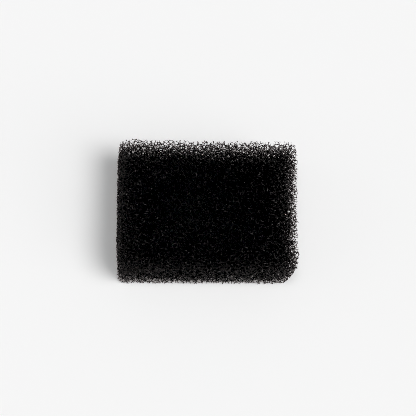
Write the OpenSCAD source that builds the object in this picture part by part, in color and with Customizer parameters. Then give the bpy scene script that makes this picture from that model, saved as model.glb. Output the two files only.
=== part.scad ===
// Filter sponge: one rectangular block of black open-cell (reticulated)
// polyurethane foam for a small aquarium or pond filter chamber.
// Millimetres. +X is the long side, +Y the short side, +Z up.
// The origin is the middle of the underside.

/* [Block] */
// Length of the block along X
block_l = 52; // [30:0.5:120]
// Width of the block along Y
block_w = 39; // [24:0.5:90]
// Thickness of the foam sheet that the block is cut from
block_t = 20; // [10:1:50]

/* [Corners] */
// The four upright corners are plain cuts, each a little worn to its own radius.
// Radius of the corner at -X -Y
front_left_r = 1.4; // [0.4:0.1:5]
// Radius of the corner at +X -Y
front_right_r = 1.6; // [0.4:0.1:5]
// Radius of the corner at +X +Y
back_right_r = 2.0; // [0.4:0.1:5]
// Radius of the corner at -X +Y
back_left_r = 1.0; // [0.4:0.1:5]

/* [Hidden] */
foam_black = [0.016, 0.014, 0.013];
half_l = block_l / 2;
half_w = block_w / 2;

// One corner of the outline: the centre of its arc, for a corner at
// sx, sy (each -1 or 1) with radius r.
function arc_centre(sx, sy, r) = [sx * (half_l - r), sy * (half_w - r)];

// The outline seen from above: a rectangle with four corners of their own
// radius. The polygon joins the tangent points, and a disc fills each corner.
module outline(fl, fr, br, bl) {
    union() {
        polygon([
            [-half_l + fl, -half_w], [half_l - fr, -half_w],
            [half_l, -half_w + fr],  [half_l, half_w - br],
            [half_l - br, half_w],   [-half_l + bl, half_w],
            [-half_l, half_w - bl],  [-half_l, -half_w + fl]
        ]);
        translate(arc_centre(-1, -1, fl)) circle(r = fl, $fn = 64);
        translate(arc_centre( 1, -1, fr)) circle(r = fr, $fn = 64);
        translate(arc_centre( 1,  1, br)) circle(r = br, $fn = 64);
        translate(arc_centre(-1,  1, bl)) circle(r = bl, $fn = 64);
    }
}

// The whole sponge: the true outer shape of the foam as one closed solid.
// Its cells and struts are far finer than anything that it has to fit.
module foam_block() {
    color(foam_black)
        linear_extrude(height = block_t)
            outline(front_left_r, front_right_r, back_right_r, back_left_r);
}

foam_block();
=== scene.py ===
from itertools import combinations
from math import cos, pi, radians, sin

import bpy
import numpy as np
from mathutils import Matrix, Vector


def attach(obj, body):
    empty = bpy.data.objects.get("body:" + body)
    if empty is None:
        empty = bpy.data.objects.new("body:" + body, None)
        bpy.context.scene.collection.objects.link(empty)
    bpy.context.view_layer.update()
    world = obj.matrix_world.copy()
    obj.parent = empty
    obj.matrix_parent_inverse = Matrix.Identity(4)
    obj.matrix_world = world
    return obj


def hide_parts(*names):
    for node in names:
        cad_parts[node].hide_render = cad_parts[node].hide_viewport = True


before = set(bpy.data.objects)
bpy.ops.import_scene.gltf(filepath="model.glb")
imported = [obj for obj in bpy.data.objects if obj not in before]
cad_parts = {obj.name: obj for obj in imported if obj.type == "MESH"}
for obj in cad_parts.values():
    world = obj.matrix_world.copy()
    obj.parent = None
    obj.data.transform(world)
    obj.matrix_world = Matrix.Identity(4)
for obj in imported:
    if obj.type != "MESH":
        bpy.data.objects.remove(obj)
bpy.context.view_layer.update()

MM = 0.001
BLACK = (0.0104, 0.0093, 0.0089)  # what the picture shows as black

WARMTH = (  # a slight warmth in the picture's darker mid tones, as red, green and blue curves
    ((0.022, 0.0232), (0.051, 0.0537), (0.113, 0.1188), (0.214, 0.2238), (0.319, 0.3235), (0.370, 0.370), (0.50, 0.50), (0.65, 0.65), (0.80, 0.80), (0.92, 0.92)),
    ((0.022, 0.0214), (0.051, 0.0497), (0.113, 0.1101), (0.214, 0.2091), (0.319, 0.3163), (0.370, 0.370), (0.50, 0.50), (0.65, 0.65), (0.80, 0.80), (0.92, 0.92)),
    ((0.022, 0.0211), (0.051, 0.0491), (0.113, 0.1089), (0.214, 0.2072), (0.319, 0.3153), (0.370, 0.370), (0.50, 0.50), (0.65, 0.65), (0.80, 0.80), (0.92, 0.92)),
)

# ---------------------------------------------------------------- the foam, in millimetres

LONG, WIDE, THICK = 52.0, 39.0, 20.0
RADII = {(1, -1): 1.6, (-1, -1): 1.4, (-1, 1): 1.0, (1, 1): 2.0}  # plan corner radii by the signs of x and y
CELL = 1.85  # a cell's diameter
SPACING = (pi / 6) ** (1 / 3) * CELL  # between cell middles
STRUT = 0.0245 * CELL  # from the middle of a strut to its ridges, halfway along
KNOT = 0.072 * CELL  # the same where four struts meet
ROUNDS = 6
FRAY = 0.10  # how unevenly the cut ends stand
SKIN = 3.2  # deeper than this the struts are plain prisms
LEAN = 1.1  # how far the top stands to the right of the underside
TILES = (6, 3)
rng = np.random.default_rng(20)

FACES = ((1, 2, 3), (0, 2, 3), (0, 1, 3), (0, 1, 2))  # the cells round the strut that leaves out cell 0, 1, 2, 3
PAIRS = ((0, 1), (0, 2), (0, 3), (1, 2), (1, 3), (2, 3))  # the two cells beside each ridge of a knot


def unit(v):
    return v / np.maximum(np.linalg.norm(v, axis=-1, keepdims=True), 1e-12)


def bins(index, values, n):
    return np.stack([np.bincount(index, values[:, k], n) for k in range(3)], 1)


def neighbours(points, reach, k):
    """The k nearest other points of each point and the way to them, for those within reach."""
    cell = np.floor((points - points.min(0)) / reach).astype(int) + 1
    shape = cell.max(0) + 2
    flat = (cell[:, 0] * shape[1] + cell[:, 1]) * shape[2] + cell[:, 2]
    order = np.argsort(flat, kind="stable")
    ranked = flat[order]
    slot = np.arange(len(points)) - np.searchsorted(ranked, ranked, side="left")
    table = np.full((int(np.prod(shape)), int(slot.max()) + 1), -1)
    table[ranked, slot] = order
    steps = np.array([(x * shape[1] + y) * shape[2] + z for x in (-1, 0, 1) for y in (-1, 0, 1) for z in (-1, 0, 1)])
    found, ways = np.empty((len(points), k), int), np.empty((len(points), k, 3))
    for a in range(0, len(points), 2000):
        b = min(a + 2000, len(points))
        near = table[flat[a:b, None] + steps].reshape(b - a, -1)
        way = points[near] - points[a:b, None]
        far = (way**2).sum(2)
        far[(near < 0) | (near == np.arange(a, b)[:, None])] = 1e9
        pick = np.argpartition(far, k, axis=1)[:, :k]
        found[a:b] = np.take_along_axis(near, pick, 1)
        way = np.take_along_axis(way, pick[:, :, None], 1)
        way[np.take_along_axis(far, pick, 1) > 1e8] = 1e3
        ways[a:b] = way
    return found, ways


def cell_middles(lo, hi):
    """Random middles, pushed apart until the cells are much the same size."""
    n = int(np.prod(hi - lo) / SPACING**3)
    points = lo + rng.random((n, 3)) * (hi - lo)
    for _ in range(ROUNDS):
        _, way = neighbours(points, 1.35 * SPACING, 14)
        far = np.linalg.norm(way, axis=2)
        push = np.clip(1.25 - far / SPACING, 0, None) / np.maximum(far, 1e-9)
        points = np.clip(points - 0.22 * SPACING * (way * push[:, :, None]).sum(1), lo, hi)
    return points


def knots_of(points, k=32):
    """Every four cells that meet, as sorted indices, and the point where they do (Delaunay tetrahedra and their circumcentres)."""
    near, way = neighbours(points, 1.85 * SPACING, k)
    square = (way**2).sum(2)
    allowed = (near > np.arange(len(points))[:, None]) & (square < (2.05 * SPACING) ** 2)
    count = allowed.sum(1)
    order = np.argsort(~allowed, axis=1, kind="stable")
    fours, middles = [], []
    for m in range(3, k + 1):
        rows = np.nonzero(count == m)[0]
        triples = np.array(list(combinations(range(m), 3)))
        step = max(1, 400_000 // len(triples))
        for s in range(0, len(rows), step):
            r = rows[s : s + step]
            pos = order[r][:, triples].reshape(len(r), -1)
            g = np.take_along_axis(way[r], pos[:, :, None], 1).reshape(len(r), -1, 3, 3)
            q = np.take_along_axis(square[r], pos, 1).reshape(len(r), -1, 3)
            a, b, c = g[:, :, 0], g[:, :, 1], g[:, :, 2]
            bc, ca, ab = np.cross(b, c), np.cross(c, a), np.cross(a, b)
            det = 2 * (a * bc).sum(2)
            ok = np.abs(det) > 1e-6 * SPACING**3
            middle = (q[:, :, :1] * bc + q[:, :, 1:2] * ca + q[:, :, 2:] * ab) / np.where(ok, det, 1)[:, :, None]
            ok &= (middle**2).sum(2) < (1.1 * SPACING) ** 2
            i, t = np.nonzero(ok)
            middle = middle[i, t]
            empty = (square[r][i] - 2 * np.einsum("nkd,nd->nk", way[r][i], middle)).min(1) > -1e-7 * SPACING**2
            i, t, middle = i[empty], t[empty], middle[empty]
            ids = near[r][i[:, None], pos.reshape(len(r), -1, 3)[i, t]]
            fours.append(np.sort(np.concatenate([r[i][:, None], ids], 1), 1))
            middles.append(middle + points[r[i]])
    return np.concatenate(fours), np.concatenate(middles)


def pair_up(fours, n):
    """The two ends of every strut. End h belongs to knot h // 4 and leaves out its cell h % 4."""
    key = np.stack([(fours[:, f[0]] * n + fours[:, f[1]]) * n + fours[:, f[2]] for f in FACES], 1).ravel()
    order = np.argsort(key, kind="stable")
    same = key[order[1:]] == key[order[:-1]]
    same[1:] &= ~same[:-1]
    i = np.nonzero(same)[0]
    return order[i], order[i + 1]


def settle(knots, a, b):
    """Moves the knots until the struts pull evenly and none is very short."""
    length = np.linalg.norm(knots[b] - knots[a], axis=1, keepdims=True)
    rest = 0.55 * length.mean() + 0.45 * length
    for _ in range(10):
        way = knots[b] - knots[a]
        length = np.linalg.norm(way, axis=1, keepdims=True)
        force = way / np.maximum(length, 1e-9) * (0.2 * (length - rest) + 0.03)
        knots = knots + bins(a, force, len(knots)) - bins(b, force, len(knots))
    return knots


def hump(v, middle, width):
    return np.exp(-(((v - middle) / width) ** 2))


def depth(p):
    """How far a point is inside the block, whose cut sides lean and waver a little."""
    x, y, z = p[:, 0], p[:, 1], p[:, 2]
    left, right = np.clip(-x / 26, 0, 1), np.clip(x / 26, 0, 1)
    back, front = np.clip(y / 19.5, 0, 1), np.clip(-y / 19.5, 0, 1)
    out_x = LEAN * (z / THICK - 0.5)
    out_x = out_x + left * 0.8 * np.clip((-6 - y) / 13.5, 0, 1) ** 2
    out_x = out_x - right * (0.25 + 0.75 * np.clip((14 - y) / 24, 0, 1) - 0.1 * np.sin(0.7 * y + 0.3 * z) - 0.25 * hump(y, -15, 3))
    out_x = out_x + right * 0.45 * hump(y, -19, 4) * (1 - z / THICK)
    out_y = back * (0.2 * hump(x, -20, 3.5) - 0.5 + 0.12 * np.sin(0.55 * x + 1 + 0.3 * z)) + front * 0.1 * np.sin(0.6 * x + 0.35 * z)
    x, y = x - out_x, y - out_y
    r = np.where(
        x > 0,
        np.where(y > 0, RADII[1, 1], RADII[1, -1]),
        np.where(y > 0, RADII[-1, 1], RADII[-1, -1]),
    )
    qx, qy = np.abs(x) - LONG / 2 + r, np.abs(y) - WIDE / 2 + r
    plan = r - np.minimum(np.maximum(qx, qy), 0) - np.hypot(np.maximum(qx, 0), np.maximum(qy, 0))
    return np.minimum(plan, np.minimum(z, THICK - z))


def canonical():
    """For an upright knot, the ridges round each strut and round each cell, counterclockwise from outside."""
    cells = np.array([(1, 1, 1), (1, -1, -1), (-1, 1, -1), (-1, -1, 1)], float)
    ridge = np.array([cells[i] + cells[j] for i, j in PAIRS])

    def wind(three, out):
        x, y, z = ridge[list(three)]
        return three if np.dot(np.cross(y - x, z - x), out) > 0 else three[::-1]

    ends = [wind([k for k, p in enumerate(PAIRS) if m not in p], -cells[m]) for m in range(4)]
    lids = [wind([k for k, p in enumerate(PAIRS) if m in p], cells[m]) for m in range(4)]
    return np.array(ends), np.array(lids)


def foam():
    """The foam's mesh, tile by tile: (vertices, quads, triangles, sharp edges)."""
    margin = 1.9 * CELL
    lo = np.array([-LONG / 2, -WIDE / 2, 0]) - margin
    hi = np.array([LONG / 2, WIDE / 2, THICK]) + margin
    middles = cell_middles(lo, hi)
    fours, knots = knots_of(middles)
    ha, hb = pair_up(fours, len(middles))
    knots = settle(knots, ha // 4, hb // 4)
    n = len(knots)

    # directions of the struts at every knot
    u = np.zeros((n * 4, 3))
    length = np.full(n * 4, np.inf)
    way = knots[hb // 4] - knots[ha // 4]
    far = np.linalg.norm(way, axis=1)
    u[ha], u[hb] = way / far[:, None], -way / far[:, None]
    length[ha] = length[hb] = far
    other = np.full(n * 4, -1)
    other[ha], other[hb] = hb, ha
    u, shortest = u.reshape(n, 4, 3), length.reshape(n, 4).min(1)
    deep = depth(knots) > SKIN
    size = np.minimum(KNOT * rng.uniform(0.85, 1.15, n) * np.where(deep, 0.75, 1), 0.62 * shortest)
    ridge = np.empty((n, 6, 3))
    for k, (i, j) in enumerate(PAIRS):
        p, q = [m for m in range(4) if m not in (i, j)]
        ridge[:, k] = unit(u[:, p] + u[:, q] - u[:, i] - u[:, j]) * size[:, None]
    corner = middles[fours]
    upright = np.linalg.det(corner[:, 1:] - corner[:, :1]) < 0
    ends, lids = canonical()

    # the knots inside the block that hang together
    inside = depth(knots) > 0.05
    inside &= knots[:, 2] > 0.12
    inside &= (other.reshape(n, 4) < 0).sum(1) < 2
    label = np.where(inside, np.arange(n), n)
    a, b = ha // 4, hb // 4
    link = inside[a] & inside[b]
    la, lb = a[link], b[link]
    label = np.append(label, n)
    for _ in range(400):
        before = label.copy()
        low = np.minimum(label[la], label[lb])
        np.minimum.at(label, la, low)
        np.minimum.at(label, lb, low)
        label = label[label]
        if (label == before).all():
            break
    names, counts = np.unique(label[:n][inside], return_counts=True)
    inside &= label[:n] == names[counts.argmax()]
    print("knots", int(inside.sum()), "loose", int(counts.sum() - counts.max()))

    tile = (
        np.clip(((knots[:, 0] / LONG + 0.5) * TILES[0]).astype(int), 0, TILES[0] - 1) * TILES[1]
        + np.clip(((knots[:, 1] / WIDE + 0.5) * TILES[1]).astype(int), 0, TILES[1] - 1)
    )

    # a ring halfway along every strut, seen from its end a
    def ring_of(h):
        """The three ridges round strut end h, as indices 0 to 5, counterclockwise about the strut away from the knot."""
        r = ends[h % 4]
        return np.where(upright[h // 4][:, None], r, r[:, ::-1])

    def cell_pair(h, ring):
        """A key for each ridge that both ends of a strut share: the two cells it lies between."""
        f = fours[h // 4]
        pairs = np.array(PAIRS)[ring]
        return np.take_along_axis(f, pairs[:, :, 0], 1) * len(middles) + np.take_along_axis(f, pairs[:, :, 1], 1)

    thick = STRUT * rng.uniform(0.85, 1.15, n * 4)
    fray = rng.normal(0, FRAY, n * 4)
    bow = rng.normal(0, 0.025, (n * 4, 3))
    ring_a, ring_b = ring_of(ha), ring_of(hb)
    key_a, key_b = cell_pair(ha, ring_a), cell_pair(hb, ring_b)
    match = (key_a[:, :, None] == key_b[:, None, :]).argmax(2)  # ridge r of end a is ridge match[r] of end b
    ring_b = np.take_along_axis(ring_b, match, 1)
    at_a, at_b = ridge[a[:, None], ring_a], ridge[b[:, None], ring_b]  # offsets of the ridges at both ends
    axis = unit(knots[b] - knots[a])[:, None]
    spread = at_a / np.linalg.norm(at_a, axis=2, keepdims=True) + at_b / np.linalg.norm(at_b, axis=2, keepdims=True)
    spread -= (spread * axis).sum(2, keepdims=True) * axis
    spread = unit(spread)
    waist = (knots[a] + knots[b])[:, None] / 2 + bow[ha][:, None] + spread * thick[ha][:, None, None]

    tiles = []
    for t in range(TILES[0] * TILES[1]):
        verts, quads, tris, sharp = [], [], [], []
        total = 0

        def add(p):
            nonlocal total
            p = p.reshape(-1, 3)
            verts.append(p)
            total += len(p)
            return total - len(p)

        own = inside & (tile == t)
        mine = np.nonzero(own)[0]
        index = np.full(n, -1)
        index[mine] = np.arange(len(mine))
        start = add(knots[mine][:, None] + ridge[mine])
        assert start == 0
        for m in range(4):
            lid = np.where(upright[mine][:, None], lids[m], lids[m][::-1])
            tris.append(index[mine][:, None] * 6 + lid)
            # a strut end that never met its partner
            bare = other[mine * 4 + m] < 0
            end = np.where(upright[mine][:, None], ends[m], ends[m][::-1])
            tris.append((index[mine][:, None] * 6 + end)[bare])

        def tube(low, high):
            """Quads between two rings of vertex indices, wound for a strut running from low to high."""
            for r in range(3):
                s = (r + 1) % 3
                quads.append(np.stack([low[:, r], low[:, s], high[:, s], high[:, r]], 1))
                sharp.append(np.stack([low[:, r], high[:, r]], 1))

        def cap(ring):
            tris.append(ring)
            sharp.extend(ring[:, [r, (r + 1) % 3]] for r in range(3))

        own_a, own_b = own[a], own[b]
        # whole struts
        plain = np.nonzero(own_a & own_b & deep[a] & deep[b])[0]
        tube(index[a[plain]][:, None] * 6 + ring_a[plain], index[b[plain]][:, None] * 6 + ring_b[plain])
        whole = np.nonzero(own_a & own_b & ~(deep[a] & deep[b]))[0]
        mid = add(waist[whole]) + np.arange(len(whole) * 3).reshape(-1, 3)
        ia, ib = index[a[whole]][:, None] * 6 + ring_a[whole], index[b[whole]][:, None] * 6 + ring_b[whole]
        tube(ia, mid)
        tube(mid, ib)
        # half struts, up to the next tile
        for near, far_in, ring, flip in ((own_a, inside[b] & ~own_b, ring_a, False), (own_b, inside[a] & ~own_a, ring_b, True)):
            half = np.nonzero(near & far_in)[0]
            base = index[(b if flip else a)[half]][:, None] * 6 + ring[half]
            mid = add(waist[half]) + np.arange(len(half) * 3).reshape(-1, 3)
            if flip:
                tube(base[:, ::-1], mid[:, ::-1])
                cap(mid[:, ::-1])
            else:
                tube(base, mid)
                cap(mid)
        # cut struts
        for near, gone, ring, offs, flip in (
            (own_a, ~inside[b], ring_a, at_a, False),
            (own_b, ~inside[a], ring_b, at_b, True),
        ):
            cut = np.nonzero(near & gone)[0]
            k0, k1 = (knots[b[cut]], knots[a[cut]]) if flip else (knots[a[cut]], knots[b[cut]])
            mark = fray[(hb if flip else ha)[cut]]
            low, high = np.zeros(len(cut)), np.ones(len(cut))
            for _ in range(14):
                t_ = (low + high) / 2
                p = k0 + (k1 - k0) * t_[:, None]
                keep = (depth(p) > mark) & (p[:, 2] > 0)
                low, high = np.where(keep, t_, low), np.where(keep, high, t_)
            span = np.linalg.norm(k1 - k0, axis=1)
            least = np.minimum(0.75 * size[(b if flip else a)[cut]] / span, 0.45)
            stop = np.clip(low, least, 0.97)
            at = offs[cut]
            hub = np.linalg.norm(at - (at * axis[cut]).sum(2, keepdims=True) * axis[cut], axis=2).mean(1)
            wide = thick[ha[cut]] + (hub - thick[ha[cut]]) * np.abs(2 * stop - 1)
            centre = k0 + (k1 - k0) * stop[:, None] + bow[ha[cut]] * (1 - np.abs(2 * stop - 1))[:, None]
            tip = spread[cut] * wide[:, None, None]
            inward = unit(np.stack([depth(centre + e) - depth(centre - e) for e in 0.05 * np.eye(3)], 1))
            slope = (axis[cut, 0] * inward).sum(1)
            slope = np.where(slope < 0, -1, 1) * np.maximum(np.abs(slope), 0.4)
            slide = -(tip * inward[:, None]).sum(2) / slope[:, None]  # lays the cut end flush with the cut face
            slide = np.clip(slide, -0.9 * wide[:, None], 0.9 * wide[:, None])
            tip = centre[:, None] + tip + axis[cut] * slide[:, :, None]
            base = index[(b if flip else a)[cut]][:, None] * 6 + ring[cut]
            tips = add(tip) + np.arange(len(cut) * 3).reshape(-1, 3)
            long = stop > 0.62
            mids = add(waist[cut][long]) + np.arange(long.sum() * 3).reshape(-1, 3)
            if flip:
                base, tips, mids = base[:, ::-1], tips[:, ::-1], mids[:, ::-1]
            tube(base[~long], tips[~long])
            tube(base[long], mids)
            tube(mids, tips[long])
            cap(tips)
        v = np.concatenate(verts)
        v[:, 2] = np.maximum(v[:, 2], 0)
        tiles.append((v, np.concatenate(quads), np.concatenate(tris), np.concatenate(sharp)))
    return tiles


# ---------------------------------------------------------------- material

def foam_material():
    mat = bpy.data.materials.new("black_foam")
    mat.use_nodes = True
    nt = mat.node_tree
    bsdf = nt.nodes["Principled BSDF"]
    coords = nt.nodes.new("ShaderNodeTexCoord")

    def noise(scale, detail, low, high):
        n = nt.nodes.new("ShaderNodeTexNoise")
        n.inputs["Scale"].default_value = scale
        n.inputs["Detail"].default_value = detail
        nt.links.new(coords.outputs["Object"], n.inputs["Vector"])
        r = nt.nodes.new("ShaderNodeMapRange")
        r.inputs["From Min"].default_value, r.inputs["From Max"].default_value = 0.3, 0.7
        r.inputs["To Min"].default_value, r.inputs["To Max"].default_value = low, high
        nt.links.new(n.outputs["Fac"], r.inputs["Value"])
        return r.outputs["Result"]

    mix = nt.nodes.new("ShaderNodeMix")
    mix.data_type = "RGBA"
    mix.inputs["A"].default_value = (0.0125, 0.0110, 0.0105, 1)
    mix.inputs["B"].default_value = (0.0185, 0.0163, 0.0155, 1)
    nt.links.new(noise(900, 3, 0, 1), mix.inputs["Factor"])
    nt.links.new(mix.outputs["Result"], bsdf.inputs["Base Color"])
    nt.links.new(noise(2200, 2, 0.22, 0.38), bsdf.inputs["Roughness"])
    bsdf.inputs["Specular IOR Level"].default_value = 0.2
    return mat


foam_look = foam_material()
for number, (verts, quads, tris, sharp) in enumerate(foam()):
    mesh = bpy.data.meshes.new(f"foam_{number}")
    mesh.vertices.add(len(verts))
    mesh.vertices.foreach_set("co", (verts * MM).astype(np.float32).ravel())
    loops = np.concatenate([quads.ravel(), tris.ravel()]).astype(np.int32)
    mesh.loops.add(len(loops))
    mesh.loops.foreach_set("vertex_index", loops)
    starts = np.concatenate([np.arange(len(quads)) * 4, len(quads) * 4 + np.arange(len(tris)) * 3]).astype(np.int32)
    mesh.polygons.add(len(starts))
    mesh.polygons.foreach_set("loop_start", starts)
    mesh.update(calc_edges=True)
    mesh.shade_smooth()
    pair = np.empty(len(mesh.edges) * 2, np.int32)
    mesh.edges.foreach_get("vertices", pair)
    pair, sharp = np.sort(pair.reshape(-1, 2).astype(int), 1), np.sort(sharp, 1)
    mesh.edges.foreach_set("use_edge_sharp", np.isin(pair @ (len(verts), 1), sharp @ (len(verts), 1)))
    piece = bpy.data.objects.new(f"foam_{'abcdef'[number // TILES[1]]}{number % TILES[1] + 1}", mesh)
    bpy.context.scene.collection.objects.link(piece)
    mesh.materials.append(foam_look)
    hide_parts("foam_block")
    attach(piece, "root")


# ---------------------------------------------------------------- surroundings

def plain(name, colour, rough):
    mat = bpy.data.materials.new(name)
    mat.use_nodes = True
    bsdf = mat.node_tree.nodes["Principled BSDF"]
    bsdf.inputs["Base Color"].default_value = (*colour, 1)
    bsdf.inputs["Roughness"].default_value = rough
    bsdf.inputs["Specular IOR Level"].default_value = 0
    return mat


floor_mesh = bpy.data.meshes.new("floor")
floor_mesh.from_pydata([(x * 20, y * 20, 0) for x, y in ((-1, -1), (1, -1), (1, 1), (-1, 1))], [], [(0, 1, 2, 3)])
floor = bpy.data.objects.new("floor", floor_mesh)
floor_mesh.materials.append(plain("paper", (0.9, 0.9, 0.9), 1.0))
bpy.context.scene.collection.objects.link(floor)

def sun(name, azimuth, elevation, angle, strength):
    """A soft light from far off. strength is what it adds to a white floor."""
    lamp = bpy.data.objects.new(name, bpy.data.lights.new(name, "SUN"))
    lamp.data.energy = strength * pi / sin(radians(elevation))
    lamp.data.angle = radians(angle)
    a, e = radians(azimuth), radians(elevation)
    lamp.rotation_euler = Vector((cos(a) * cos(e), sin(a) * cos(e), sin(e))).to_track_quat("Z", "Y").to_euler()
    bpy.context.scene.collection.objects.link(lamp)


sun("key", azimuth=-23, elevation=62, angle=28, strength=0.51)
sun("spill", azimuth=-28, elevation=30, angle=40, strength=0.07)
sun("overhead", azimuth=200, elevation=82, angle=16, strength=0.27)
sun("fill", azimuth=185, elevation=14, angle=50, strength=0.015)
SKY = 0.165

world = bpy.data.worlds.new("studio")
bpy.context.scene.world = world
world.use_nodes = True
nt = world.node_tree
back = nt.nodes["Background"]
back.inputs["Color"].default_value = (1, 1, 1, 1)
back.inputs["Strength"].default_value = SKY
seen = nt.nodes.new("ShaderNodeBackground")
seen.inputs["Color"].default_value = (0.92, 0.92, 0.92, 1)
path, mix = nt.nodes.new("ShaderNodeLightPath"), nt.nodes.new("ShaderNodeMixShader")
nt.links.new(path.outputs["Is Camera Ray"], mix.inputs["Fac"])
nt.links.new(back.outputs[0], mix.inputs[1])
nt.links.new(seen.outputs[0], mix.inputs[2])
nt.links.new(mix.outputs[0], nt.nodes["World Output"].inputs["Surface"])

camera = bpy.data.objects.new("camera", bpy.data.cameras.new("camera"))
camera.data.sensor_width = 36
camera.data.lens = 85
TILT, SIDE, ROLL, REACH = 15.5, 4.0, -0.55, 0.289
TARGET = Vector((0.0005, 0.0008, 0.012))
away = Vector((-sin(radians(SIDE)), -sin(radians(TILT)), 0))
away.z = (1 - away.length_squared) ** 0.5
camera.location = TARGET + away * REACH
across = Vector((0, 1, 0)).cross(away).normalized()
turn = Matrix((across, away.cross(across), away)).transposed() @ Matrix.Rotation(radians(ROLL), 3, "Z")
camera.rotation_euler = turn.to_euler()
camera.data.clip_start, camera.data.clip_end = 0.01, 100
bpy.context.scene.collection.objects.link(camera)
bpy.context.scene.camera = camera

view = bpy.context.scene.view_settings
view.view_transform = "Standard"
view.use_curve_mapping = True
view.curve_mapping.black_level = BLACK
for curve, points in zip(view.curve_mapping.curves, WARMTH):
    for x, y in points:
        curve.points.new(x, y)
view.curve_mapping.update()
bpy.context.scene.cycles.filter_width = 0.8
bpy.context.scene.cycles.denoising_prefilter = "NONE"
